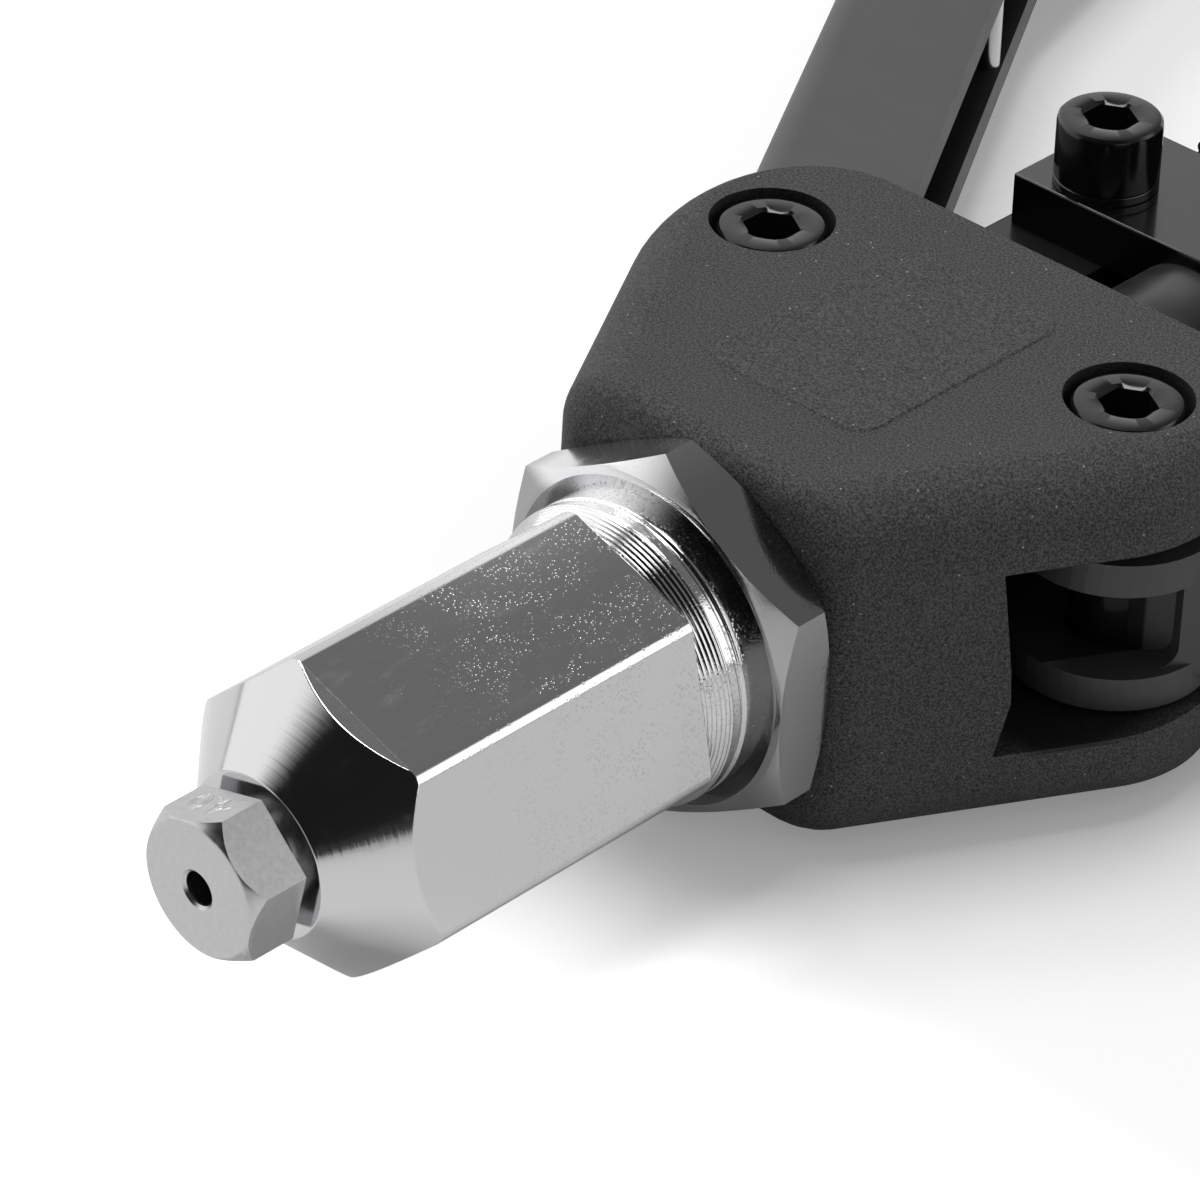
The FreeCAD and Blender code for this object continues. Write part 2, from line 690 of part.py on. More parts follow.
def collector_bottle():
    """Bottle for spent mandrels, open to the pull tube."""
    start = cap_front + cap_length - bottle_insert
    neck = bottle_radius - bottle_wall
    shoulder = cap_front + cap_length
    end = shoulder + bottle_length
    outer = turned([
        (0, start), (neck, start), (neck, shoulder), (bottle_radius, shoulder),
        (bottle_radius, end - bottle_shoulder), (bottle_base_radius, end), (0, end)])
    rims = [e for e in outer.Edges
            if abs(e.BoundBox.YMin - end) < 0.01 or abs(e.BoundBox.YMin - end + bottle_shoulder) < 0.01]
    outer = outer.makeFillet(bottle_wall * 1.5, rims)
    inner = turned([
        (0, start - 1), (neck - bottle_wall, start - 1), (neck - bottle_wall, end - bottle_shoulder),
        (bottle_base_radius - bottle_wall, end - bottle_wall), (0, end - bottle_wall)])
    return outer.cut(inner)


def build():
    """Every node of the tool, by name."""
    left_arm = arm()
    left_pin = arm_pin()
    left_grip = grip()
    right_bar = follower_bar()
    ear_seat_top = flange_top + side_gap
    ear_seat_bottom = flange_bottom - side_gap
    washer_top = top_plate_top + washer_thickness
    spring_end = tube_front
    pusher_seat = case_front + jaw_set_back + jaw_length + pusher_collar
    bottom_nut = bottom_plate_bottom - nut_thickness
    return {
        "nosepiece": nosepiece(),
        "nose_housing": nose_housing(),
        "lock_nut": lock_nut(),
        "body_casting": body_casting(),
        "pivot_screws": both_sides(socket_screw(pivot_x, pivot_y, sleeve_top, nut_seat - nut_thickness)),
        "pivot_nuts": both_sides(hexagon_nut(pivot_x, pivot_y, nut_seat - nut_thickness)),
        "pivot_sleeves": both_sides(ring_z(pivot_x, pivot_y, sleeve_radius, screw_radius + screw_gap,
                                           nut_seat, sleeve_top)),
        "spacer_rings": both_sides(ring_z(pivot_x, pivot_y, washer_radius, sleeve_radius,
                                          ear_seat_top, cavity_top)),
        "thrust_washers": both_sides(ring_z(pivot_x, pivot_y, washer_radius, sleeve_radius,
                                            cavity_bottom, ear_seat_bottom)),
        "arm_left": left_arm,
        "arm_right": mirrored(left_arm),
        "arm_pin_left": left_pin,
        "arm_pin_right": mirrored(left_pin),
        "grip_left": left_grip,
        "grip_right": mirrored(left_grip),
        "follower_bar_right": right_bar,
        "follower_bar_left": mirrored(right_bar),
        "crosshead_top_plate": crosshead_plate(bar_top, top_plate_top),
        "crosshead_bottom_plate": crosshead_plate(bottom_plate_bottom, bar_bottom),
        "crosshead_washers": both_sides(ring_z(crosshead_screw_x, crosshead_screw_y, screw_head_radius,
                                               screw_radius + screw_gap, top_plate_top, washer_top)),
        "crosshead_screws": both_sides(socket_screw(crosshead_screw_x, crosshead_screw_y, washer_top,
                                                    bottom_nut - crosshead_screw_tail)),
        "crosshead_nuts": both_sides(hexagon_nut(crosshead_screw_x, crosshead_screw_y, bottom_nut)),
        "pull_tube": pull_tube(),
        "jaw_case": jaw_case(),
        "case_lock_nut": case_lock_nut(),
        "jaws": jaws(),
        "jaw_pusher": jaw_pusher(),
        "jaw_spring": spring(jaw_spring_radius, jaw_spring_wire, pusher_seat, spring_end, jaw_spring_turns),
        "return_spring": spring(return_spring_radius, return_spring_wire / 2,
                                case_rear + case_nut_thickness, housing_rear, return_spring_turns),
        "collector_cap": collector_cap(),
        "collector_bottle": collector_bottle(),
    }


def main():
    os.makedirs("parts", exist_ok=True)
    for name, shape in build().items():
        shape.exportStep("parts/" + name + ".step")
        print(name, "solids", len(shape.Solids), "valid", shape.isValid(), "volume", round(shape.Volume, 1))


main()
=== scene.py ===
"""A two-arm lever hand riveter on a pale studio floor.

The fixed frame gives every piece its place. This script gives the pieces their finished
shapes, finishes, floor, light and camera. Lengths below are in millimetres until MM turns
them into metres.
"""

import json
import math

import bmesh
import bpy
from bpy.props import BoolProperty, FloatProperty, FloatVectorProperty, IntProperty, PointerProperty
from mathutils import Matrix, Vector


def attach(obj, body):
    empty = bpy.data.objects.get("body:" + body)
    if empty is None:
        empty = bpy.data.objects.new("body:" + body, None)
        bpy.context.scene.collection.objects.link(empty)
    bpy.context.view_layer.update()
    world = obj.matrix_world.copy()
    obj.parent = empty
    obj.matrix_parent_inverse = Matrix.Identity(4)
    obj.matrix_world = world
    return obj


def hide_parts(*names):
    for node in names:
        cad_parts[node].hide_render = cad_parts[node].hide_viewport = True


bl_info = {
    "name": "Lever hand riveter",
    "version": (1, 0, 0),
    "blender": (4, 5, 0),
    "location": "3D View > Sidebar > Riveter",
    "description": "Builds a two-arm lever hand riveter with its finishes and a small studio",
    "category": "Object",
}

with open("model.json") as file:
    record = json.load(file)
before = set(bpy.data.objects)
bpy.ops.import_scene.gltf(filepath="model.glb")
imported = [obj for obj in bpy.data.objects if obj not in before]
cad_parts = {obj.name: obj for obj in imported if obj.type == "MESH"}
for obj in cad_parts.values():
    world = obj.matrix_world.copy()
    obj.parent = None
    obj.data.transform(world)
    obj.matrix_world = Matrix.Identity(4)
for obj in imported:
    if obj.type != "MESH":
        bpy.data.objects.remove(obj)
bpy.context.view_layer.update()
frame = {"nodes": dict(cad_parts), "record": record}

MM = 0.001

# Places and sizes that the pieces share with the frame, in millimetres
PIVOT_X = 26.9
PIVOT_Y = 114.7
NOSE_SEAT_RADIUS = 5.0
NOSE_SEAT_REAR = 17.0
HOUSING_BORE = 13.05
HEXAGON_REAR = 58.4
THREAD_RADIUS = 18.0
THREAD_REAR = 84.0
BODY_FRONT = 74.0
BODY_REAR = 131.5
BODY_TOP = 22.8
EDGE_RADIUS = 8.5
FLANK_DISTANCE = 16.2
INNER_TOP = 12.3
INNER_BOTTOM = -11.8
INNER_FRONT = 90.2
SCREW_SEAT_RADIUS = 7.4
SCREW_SEAT_FLOOR = 14.3
NUT_POCKET_CORNER = 7.794
ARM_MIDDLE = -1.4
ARM_SLOT = 11.0
FLOOR_HEIGHT = -23.95

# The photograph's viewpoint: the camera's place in metres and its lens in millimetres
CAMERA_PLACE = (0.35463, -0.31375, 0.35295)
CAMERA_LENS = 171.2

# Fineness and tolerances of the meshes
ROUND_STEPS = 144
FINE_STEPS = 96
SHARP_ANGLE = 28.0
MERGE_DISTANCE = 0.002 * MM

# Half of the angle that one flat of a hexagon takes up
HALF_SIXTH = math.radians(30)


class RiveterSizes(bpy.types.PropertyGroup):
    """Sizes of the finished pieces that the frame leaves open."""

    nosepiece_flats: FloatProperty(
        name="Nosepiece across flats", description="Width of the nosepiece's hexagon",
        default=16.0 * MM, min=12 * MM, max=16.4 * MM, subtype="DISTANCE", unit="LENGTH")
    nosepiece_turn: FloatProperty(
        name="Nosepiece turn", description="Turn of the nosepiece's hexagon about the tool axis",
        default=math.radians(13.7), subtype="ANGLE", unit="ROTATION")
    housing_flats: FloatProperty(
        name="Housing across flats", description="Width of the nose housing's hexagon",
        default=33.4 * MM, min=28 * MM, max=34 * MM, subtype="DISTANCE", unit="LENGTH")
    housing_turn: FloatProperty(
        name="Housing turn", description="Turn of the housing's hexagon about the tool axis",
        default=math.radians(-11.8), subtype="ANGLE", unit="ROTATION")
    lock_nut_flats: FloatProperty(
        name="Lock nut across flats", description="Width of the lock nut",
        default=41.4 * MM, min=38 * MM, max=42 * MM, subtype="DISTANCE", unit="LENGTH")
    lock_nut_turn: FloatProperty(
        name="Lock nut turn", description="Turn of the lock nut about the tool axis",
        default=math.radians(2.0), subtype="ANGLE", unit="ROTATION")
    thread_pitch: FloatProperty(
        name="Thread pitch", description="Distance between the housing's thread crests",
        default=0.5 * MM, min=0.4 * MM, max=2 * MM, subtype="DISTANCE", unit="LENGTH")
    corner_radius: FloatProperty(
        name="Housing corner", description="Radius of the housing's long edges",
        default=2.2 * MM, min=0.2 * MM, max=3 * MM, subtype="DISTANCE", unit="LENGTH")
    edge: FloatProperty(
        name="Machined edge", description="Rounding of the machined pieces' edges",
        default=0.25 * MM, min=0.05 * MM, max=0.6 * MM, subtype="DISTANCE", unit="LENGTH")
    spring_turns: IntProperty(
        name="Return spring turns", description="Coils of the return spring",
        default=6, min=3, max=12)
    size_mark: BoolProperty(
        name="Size mark", description="Marks the nosepiece's bore size on its top flat", default=True)


class RiveterFinishes(bpy.types.PropertyGroup):
    """Colours of the finishes."""

    casting: FloatVectorProperty(
        name="Casting", description="Colour of the body's textured coating",
        default=(0.052, 0.052, 0.053), subtype="COLOR", min=0, max=1)
    arms: FloatVectorProperty(
        name="Arms", description="Colour of the arms' smooth coating",
        default=(0.063, 0.063, 0.064), subtype="COLOR", min=0, max=1)
    chrome: FloatVectorProperty(
        name="Chrome", description="Colour of the chrome plating",
        default=(0.61, 0.61, 0.615), subtype="COLOR", min=0, max=1)
    satin_plate: FloatVectorProperty(
        name="Satin plate", description="Colour of the nosepiece's satin plating",
        default=(0.56, 0.56, 0.565), subtype="COLOR", min=0, max=1)
    oxide: FloatVectorProperty(
        name="Black oxide", description="Colour of the blackened steel",
        default=(0.012, 0.012, 0.013), subtype="COLOR", min=0, max=1)
    rubber: FloatVectorProperty(
        name="Rubber", description="Colour of the grips",
        default=(0.022, 0.022, 0.023), subtype="COLOR", min=0, max=1)


class Value:
    """A shader socket that takes part in Python arithmetic."""

    def __init__(self, finish, socket):
        self.finish = finish
        self.socket = socket

    def calculate(self, operation, first, second):
        return self.finish.node("ShaderNodeMath", {"operation": operation}, {0: first, 1: second})

    def __add__(self, other):
        return self.calculate("ADD", self, other)

    def __radd__(self, other):
        return self.calculate("ADD", other, self)

    def __sub__(self, other):
        return self.calculate("SUBTRACT", self, other)

    def __rsub__(self, other):
        return self.calculate("SUBTRACT", other, self)

    def __mul__(self, other):
        return self.calculate("MULTIPLY", self, other)

    def __rmul__(self, other):
        return self.calculate("MULTIPLY", other, self)

    def __pow__(self, other):
        return self.calculate("POWER", self, other)

    def __abs__(self):
        return self.finish.node("ShaderNodeMath", {"operation": "ABSOLUTE"}, {0: self})


class Finish:
    """A node material, or the world, that is written as expressions."""

    def __init__(self, block):
        block.use_nodes = True
        self.tree = block.node_tree
        self.tree.nodes.clear()

    def node(self, kind, settings=None, sockets=None, out=0):
        """Adds a node, sets it up, fills its sockets and returns one output."""
        made = self.tree.nodes.new(kind)
        for key, value in (settings or {}).items():
            setattr(made, key, value)
        for key, value in (sockets or {}).items():
            self.fill(made.inputs[key], value)
        outputs = [o for o in made.outputs if o.enabled]
        return Value(self, made.outputs[out] if isinstance(out, str) else outputs[out])

    def fill(self, socket, value):
        if isinstance(value, Value):
            self.tree.links.new(value.socket, socket)
        else:
            socket.default_value = value

    def end(self, kind, **sockets):
        made = self.tree.nodes.new(kind)
        for key, value in sockets.items():
            self.fill(made.inputs[key], value)

    def coordinates(self):
        return self.node("ShaderNodeTexCoord", out="Object")

    def axes(self):
        split = self.tree.nodes.new("ShaderNodeSeparateXYZ")
        self.fill(split.inputs[0], self.coordinates())
        return [Value(self, split.outputs[k]) for k in range(3)]

    def noise(self, scale, detail=2.0, roughness=0.5, stretch=None):
        """Noise of a size in millimetres per grain, from 0 to 1."""
        place = self.coordinates()
        if stretch:
            place = self.node("ShaderNodeMapping", None, {"Vector": place, "Scale": stretch})
        return self.node("ShaderNodeTexNoise", None, {
            "Vector": place, "Scale": 1 / (scale * MM), "Detail": detail, "Roughness": roughness}, "Fac")

    def lines(self, place, width, detail=2.0, axis="Y"):
        """Noise along one value only, as lines of a width in millimetres."""
        return self.node("ShaderNodeTexNoise", None, {
            "Vector": self.node("ShaderNodeCombineXYZ", None, {axis: place}),
            "Scale": 1 / (width * MM), "Detail": detail}, "Fac")

    def cells(self, scale):
        """Distance to the nearest of scattered points, spaced in millimetres."""
        return self.node("ShaderNodeTexVoronoi", None, {
            "Vector": self.coordinates(), "Scale": 1 / (scale * MM)}, "Distance")

    def step(self, value, low, high):
        """Smooth change from 0 at low to 1 at high."""
        return self.node("ShaderNodeMapRange", {"interpolation_type": "SMOOTHSTEP"}, {
            "Value": value, "From Min": low, "From Max": high, "To Min": 0.0, "To Max": 1.0}, "Result")

    def between(self, share, first, second):
        """Mixes two colours."""
        made = self.tree.nodes.new("ShaderNodeMix")
        made.data_type = "RGBA"
        for name, value in (("Factor", share), ("A", first), ("B", second)):
            socket = [s for s in made.inputs if s.name == name and s.enabled][0]
            self.fill(socket, value)
        return Value(self, [s for s in made.outputs if s.enabled][0])

    def bump(self, height, depth, strength=1.0):
        """Bump of a depth in millimetres."""
        return self.node("ShaderNodeBump", None, {
            "Height": height, "Distance": depth * MM, "Strength": strength})


def grey(level):
    return (level, level, level * 1.01, 1.0)


def shaded(colour, factor):
    return tuple(min(1.0, c * factor) for c in colour[:3]) + (1.0,)


def surface(name, constants, make):
    """A material on one Principled shader. make(finish) returns what changes over the surface."""
    material = bpy.data.materials.new(name)
    finish = Finish(material)
    sockets = dict(constants)
    sockets.update(make(finish))
    shader = finish.node("ShaderNodeBsdfPrincipled", None, sockets)
    finish.end("ShaderNodeOutputMaterial", Surface=shader)
    return material


def textured_coating(name, colour):
    """Sand-textured coating with painted glints as a few bright specks, and painted shade in the screw seats
    and between the plates.
    """

    def make(f):
        x, y, z = f.axes()
        sand = f.noise(0.3, 2.0, 0.7)
        fine = f.noise(0.17, 1.0, 0.6)
        broad = f.noise(9.0, 2.0)
        # A few specks are painted bright: painted glints.
        glint_grains = f.step(f.cells(1.7), 0.085, 0.04) * f.step(f.noise(5.0, 2.0), 0.44, 0.56)
        level = f.step(sand * 0.6 + fine * 0.4, 0.40, 0.60) * 0.9 + broad * 0.1
        base = f.between(level, shaded(colour, 0.1), shaded(colour, 1.75))
        height = sand * 0.5 + fine * 0.5
        # Painted shade: the coating goes near black in the screw seats and in the space between the plates.
        across = abs(x) - PIVOT_X * MM
        along = y - PIVOT_Y * MM
        from_pivot = (across * across + along * along) ** 0.5
        seat = f.step(from_pivot, (SCREW_SEAT_RADIUS + 0.1) * MM, (SCREW_SEAT_RADIUS - 0.05) * MM)
        inside = f.step(abs(x), 41.0 * MM, 36.0 * MM) * f.step(y, 92.0 * MM, 96.0 * MM)
        shade_between_plates = f.step(abs(z), (INNER_TOP + 0.2) * MM, INNER_TOP * MM) * inside
        shadowed = 1 - (1 - seat) * (1 - shade_between_plates)
        coated = f.between(glint_grains, base, (0.42, 0.42, 0.42, 1.0))
        return {
            "Base Color": f.between(shadowed * 0.9, coated, (0.003, 0.003, 0.003, 1.0)),
            "Roughness": 0.58 + 0.2 * fine,
            "Normal": f.bump(height, 0.16, 1.0),
        }

    return surface(name, {"Specular IOR Level": 0.36}, make)


def smooth_coating(name, colour):
    """Smooth satin coating with a slight orange peel, painted shade and a dull finish inside the arm's
    channel.
    """

    def make(f):
        x, y, z = f.axes()
        slope = math.radians(30.5)
        inboard = (PIVOT_X * MM - abs(x)) * math.cos(slope) + (y - PIVOT_Y * MM) * math.sin(slope)
        half_slot = ARM_SLOT / 2
        # Painted shade: the coating inside the arm's channel is near black.
        channel = f.step(abs(z - ARM_MIDDLE * MM), (half_slot + 0.08) * MM, half_slot * MM)
        channel = channel * f.step(inboard, -6.4 * MM, -6.1 * MM)
        peel = f.noise(1.6, 2.0)
        broad = f.noise(22.0, 2.0)
        coated = f.between(broad, shaded(colour, 0.88), shaded(colour, 1.14))
        return {
            "Base Color": f.between(channel * 0.97, coated, (0.002, 0.002, 0.002, 1.0)),
            "Roughness": 0.4 + 0.12 * f.noise(5.0, 2.0) + 0.35 * channel,
            "Normal": f.bump(peel, 0.03, 0.5),
        }

    return surface(name, {"Specular IOR Level": 0.42}, make)


def chrome_plate(name, colour, pitted_from, pitted_to, turned_to):
    """Bright plating over machined steel: pits, painted light on a rougher area on top, and turning lines on
    the cone.
    """

    def make(f):
        x, y, z = f.axes()
        spread = f.step(y, pitted_from * MM, pitted_to * MM)
        patch = f.step(f.noise(4.5, 3.0, 0.6), 0.36, 0.56)
        pits = f.step(f.cells(0.44), 0.42, 0.2) * spread * (0.15 + 0.85 * patch)
        streaks = f.step(f.noise(1.6, 3.0, 0.6, (1.0, 0.3, 1.0)), 0.5, 0.75)
        peel = f.noise(2.6, 2.0)
        cone = f.step(y, (turned_to + 0.4) * MM, (turned_to - 0.4) * MM)
        height = f.lines(y, 0.42) * cone - pits * 0.45 + peel * 0.1
        # Painted light: the top is made brighter, up to full reflectance, and a little rougher.
        painted_top_light = f.step(z, 12.0 * MM, 15.0 * MM) * f.step(y, 24.0 * MM, 52.0 * MM)
        painted_top_light = painted_top_light * f.step(x, 7.0 * MM, -9.0 * MM)
        plated = f.between(painted_top_light, shaded(colour, 1.0), shaded(colour, 2.4))
        return {
            "Base Color": f.between(pits * 0.5, plated, shaded(colour, 0.72)),
            "Roughness": 0.09 + 0.06 * streaks + 0.03 * cone + 0.16 * pits + 0.1 * painted_top_light,
            "Normal": f.bump(height, 0.04, 0.6),
        }

    return surface(name, {"Metallic": 1.0}, make)


def ground_steel(name, colour, rough):
    """Plain steel with fine lines round the tool axis."""

    def make(f):
        lines = f.lines(f.axes()[1], 0.22)
        stain = f.noise(6.0, 3.0, 0.6)
        return {
            "Base Color": f.between(stain, shaded(colour, 0.8), shaded(colour, 1.1)),
            "Roughness": rough - 0.07 + 0.2 * stain,
            "Normal": f.bump(lines, 0.012, 0.5),
        }

    return surface(name, {"Metallic": 1.0}, make)


def black_oxide(name, colour, rough, wear=0.05, gloss=0.5, oily_above=None):
    """Blackened steel, slightly uneven. Above a height, where one is given, it has an oily gloss."""

    def make(f):
        uneven = f.noise(1.3, 3.0, 0.6)
        broad = f.noise(8.0, 2.0)
        scuffs = f.step(f.noise(0.7, 3.0, 0.7), 0.66, 0.74) * wear
        base = f.between(broad, shaded(colour, 0.8), shaded(colour, 1.5))
        sockets = {
            "Base Color": f.between(scuffs, base, grey(0.2)),
            "Roughness": rough + 0.12 * uneven,
            "Normal": f.bump(uneven, 0.01, 0.35),
        }
        if oily_above is not None:
            sockets["Coat Weight"] = f.step(f.axes()[2], oily_above * MM, (oily_above + 0.2) * MM)
        return sockets

    return surface(name, {"Specular IOR Level": gloss, "Coat Weight": 0.25, "Coat Roughness": 0.1}, make)


def soft_rubber(name, colour):
    """Matt grip rubber with a fine moulded grain."""

    def make(f):
        grain = f.cells(0.9)
        dust = f.noise(14.0, 3.0, 0.6)
        return {
            "Base Color": f.between(dust, shaded(colour, 0.8), shaded(colour, 1.5)),
            "Roughness": 0.66 + 0.16 * dust,
            "Normal": f.bump(grain, 0.08, 0.5),
        }

    return surface(name, {"Specular IOR Level": 0.4}, make)


def moulded_plastic(name, colour):
    """Injection-moulded plastic with a light spark texture."""

    def make(f):
        grain = f.noise(0.5, 2.0, 0.6)
        broad = f.noise(12.0, 2.0)
        return {
            "Base Color": f.between(broad, shaded(colour, 0.85), shaded(colour, 1.2)),
            "Roughness": 0.42 + 0.14 * grain,
            "Normal": f.bump(grain, 0.03, 0.5),
        }

    return surface(name, {"Specular IOR Level": 0.45}, make)


def new_piece(bm, node, material, edge=0.0, angle=SHARP_ANGLE, segments=2, weighted_edges=False):
    """Turns a bmesh into the finished piece that stands for a node of the frame.

    Its sharp edges are rounded by edge, in metres. With weighted_edges they follow the mesh's bevel weights.
    """
    name = node + "_finished"
    mesh = bpy.data.meshes.new(name)
    bm.to_mesh(mesh)
    bm.free()
    mesh.shade_smooth()
    mesh.set_sharp_from_angle(angle=math.radians(angle))
    piece = bpy.data.objects.new(name, mesh)
    bpy.context.scene.collection.objects.link(piece)
    mesh.materials.append(material)
    if edge:
        bevel = piece.modifiers.new("Rounded edges", "BEVEL")
        bevel.width = edge
        bevel.segments = segments
        bevel.limit_method = "WEIGHT" if weighted_edges else "ANGLE"
        bevel.angle_limit = math.radians(angle)
        bevel.miter_outer = "MITER_ARC"
        bevel.face_strength_mode = "FSTR_ALL"
        keep_flat(piece).use_face_influence = True
    stand_for(piece, node)
    return piece


def keep_flat(piece):
    """Shades a piece's large faces flat."""
    weighted = piece.modifiers.new("Flat faces stay flat", "WEIGHTED_NORMAL")
    weighted.keep_sharp = True
    return weighted


def stand_for(piece, node):
    """Puts a piece on its node's body, in its node's place, and hides the node."""
    record = frame["record"]
    body = [b for b, nodes in record["behaviour"]["bodies"].items() if node in nodes][0]
    slot = [s["material_slot"] for s in record["subparts"] if s["node"] == node][0]
    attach(piece, body)
    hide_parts(node)


def dress_node(node, material):
    """Gives a node of the frame its finish."""
    shown = frame["nodes"][node]
    shown.data.materials.clear()
    shown.data.materials.append(material)


def softened_node(node, material, edge, angle=32.0, segments=2):
    """A node's own mesh with whole flat faces, as a piece whose edges are rounded in millimetres."""
    bm = bmesh.new()
    bm.from_mesh(frame["nodes"][node].data)
    bmesh.ops.remove_doubles(bm, verts=bm.verts, dist=MERGE_DISTANCE)
    bmesh.ops.dissolve_limit(bm, angle_limit=math.radians(0.5), verts=bm.verts, edges=bm.edges)
    new_piece(bm, node, material, edge * MM, angle, segments)


def add_shell(bm, shell):
    """Adds a shell to a piece's bmesh and frees it."""
    mesh = bpy.data.meshes.new("shell")
    shell.to_mesh(mesh)
    shell.free()
    bm.from_mesh(mesh)
    bpy.data.meshes.remove(mesh)


def turned(bm, profile, steps, axis="Y", centre=(0.0, 0.0)):
    """Turns a closed (radius, place) outline in millimetres about the tool axis or an upright axis."""
    made = []
    for radius, place in profile:
        if axis == "Y":
            point = (radius * MM, place * MM, 0.0)
        else:
            point = (centre[0] * MM + radius * MM, centre[1] * MM, place * MM)
        made.append(bm.verts.new(point))
    edges = [bm.edges.new((a, b)) for a, b in zip(made, made[1:] + made[:1])]
    spin_axis = (0, 1, 0) if axis == "Y" else (0, 0, 1)
    spin_centre = (0, 0, 0) if axis == "Y" else (centre[0] * MM, centre[1] * MM, 0)
    bmesh.ops.spin(bm, geom=made + edges, cent=spin_centre, axis=spin_axis, angle=2 * math.pi,
                   steps=steps, use_merge=True)
    bmesh.ops.remove_doubles(bm, verts=bm.verts, dist=MERGE_DISTANCE)
    shortest = 0.001 * MM
    flat = [e for e in bm.edges if e.calc_length() < shortest]
    if flat:
        bmesh.ops.dissolve_degenerate(bm, dist=shortest, edges=flat)
    bmesh.ops.recalc_face_normals(bm, faces=bm.faces)


def cut_flats(bm, across_flats, turn, rounding=0.0):
    """Cuts the six flats of a hexagon into a turned blank, and the strips of its rounded corners."""
    cuts = [(60 * k + 30, across_flats / 2) for k in range(6)]
    if rounding:
        centre = (across_flats / 2 - rounding) / math.cos(HALF_SIXTH)
        for k in range(6):
            for aside in (0, -8, 8, -16, 16, -24, 24):
                cuts.append((60 * k + aside, centre * math.cos(math.radians(aside)) + rounding))
    for degrees, distance in cuts:
        angle = turn + math.radians(degrees)
        normal = Vector((math.sin(angle), 0, math.cos(angle)))
        cut = bmesh.ops.bisect_plane(
            bm, geom=bm.verts[:] + bm.edges[:] + bm.faces[:], dist=1e-7,
            plane_co=normal * distance, plane_no=normal, clear_outer=True)
        rim = [e for e in cut["geom_cut"] if isinstance(e, bmesh.types.BMEdge)]
        bmesh.ops.contextual_create(bm, geom=rim)
    bmesh.ops.recalc_face_normals(bm, faces=bm.faces)


def weigh_edges(bm, corner_share, other_share):
    """Sets how much of the edge rounding the long corner edges and the other sharp edges get."""
    layer = bm.edges.layers.float.new("bevel_weight_edge")
    for edge in bm.edges:
        if len(edge.link_faces) == 2 and edge.calc_face_angle(0.0) > math.radians(SHARP_ANGLE):
            run = edge.verts[0].co - edge.verts[1].co
            lengthwise = run.length > 2 * MM and abs(run.normalized().y) > 0.98
            edge[layer] = corner_share if lengthwise else other_share


class RIVETER_OT_nosepiece(bpy.types.Operator):
    """Hexagonal nosepiece with its mandrel hole and size mark"""

    bl_idname = "riveter.nosepiece"
    bl_label = "Nosepiece"

    def execute(self, context):
        sizes = context.scene.riveter_sizes
        flat = sizes.nosepiece_flats / 2 / MM
        corner = flat / math.cos(HALF_SIXTH) + 0.01
        hole, collar, stem = 2.0, 6.2, NOSE_SEAT_RADIUS
        head_rear, rear = 7.2, NOSE_SEAT_REAR + 1.0
        bm = bmesh.new()
        turned(bm, [
            (hole, 0.35), (hole + 0.35, 0.0), (flat - 0.35, 0.0), (flat, 0.15), (corner, 1.7),
            (corner, head_rear), (collar, head_rear), (collar, 8.45), (stem, 8.55),
            (stem, NOSE_SEAT_REAR), (3.2, rear), (hole, rear)], ROUND_STEPS)
        cut_flats(bm, sizes.nosepiece_flats, sizes.nosepiece_turn)
        weigh_edges(bm, 1.0, 0.6)
        finishes = context.scene.riveter_finishes
        steel = nosepiece_plating("nosepiece_plating", finishes.satin_plate)
        new_piece(bm, "nosepiece", steel, 0.5 * MM, segments=3, weighted_edges=True)
        if sizes.size_mark:
            self.mark(sizes, steel)
        return {"FINISHED"}

    def mark(self, sizes, steel):
        """The bore size as a fine outline on the flat that faces up."""
        curve = bpy.data.curves.new("size_mark_outline", "FONT")
        curve.body = "4.0"
        curve.size = 4.7 * MM
        curve.fill_mode = "NONE"
        curve.bevel_depth = 0.07 * MM
        curve.bevel_resolution = 2
        curve.resolution_u = 6
        curve.align_x = "CENTER"
        curve.align_y = "CENTER"
        text = bpy.data.objects.new("size_mark_outline", curve)
        bpy.context.scene.collection.objects.link(text)
        bpy.context.view_layer.update()
        mesh = bpy.data.meshes.new_from_object(text)
        bpy.data.objects.remove(text)
        angle = sizes.nosepiece_turn - HALF_SIXTH
        outward = Vector((math.sin(angle), 0, math.cos(angle)))
        along = Vector((0, 1, 0))
        side = along.cross(outward)
        turn = Matrix((-side, -along, outward)).transposed().to_4x4()
        sunk = sizes.nosepiece_flats / 2 - 0.04 * MM
        middle = 4.3 * MM
        mesh.transform(Matrix.Translation(outward * sunk + along * middle) @ turn)
        mesh.shade_smooth()
        mesh.materials.clear()
        mesh.materials.append(steel)
        mark = bpy.data.objects.new("size_mark", mesh)
        bpy.context.scene.collection.objects.link(mark)
        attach(mark, "case")


def nosepiece_plating(name, colour):
    """Satin plating with rings on the turned front face."""

    def make(f):
        x, y, z = f.axes()
        radius = (x * x + z * z) ** 0.5
        face = f.step(y, 0.9 * MM, 0.3 * MM)
        rings = f.lines(radius, 0.14, 1.0, "X")
        peel = f.noise(0.8, 3.0, 0.6)
        return {
            "Base Color": f.between(peel, shaded(colour, 0.85), shaded(colour, 1.05)),
            "Roughness": 0.17 + 0.1 * peel + 0.08 * face,
            "Normal": f.bump(rings * face + peel * 0.5, 0.012, 0.6),
        }

    return surface(name, {"Metallic": 1.0}, make)


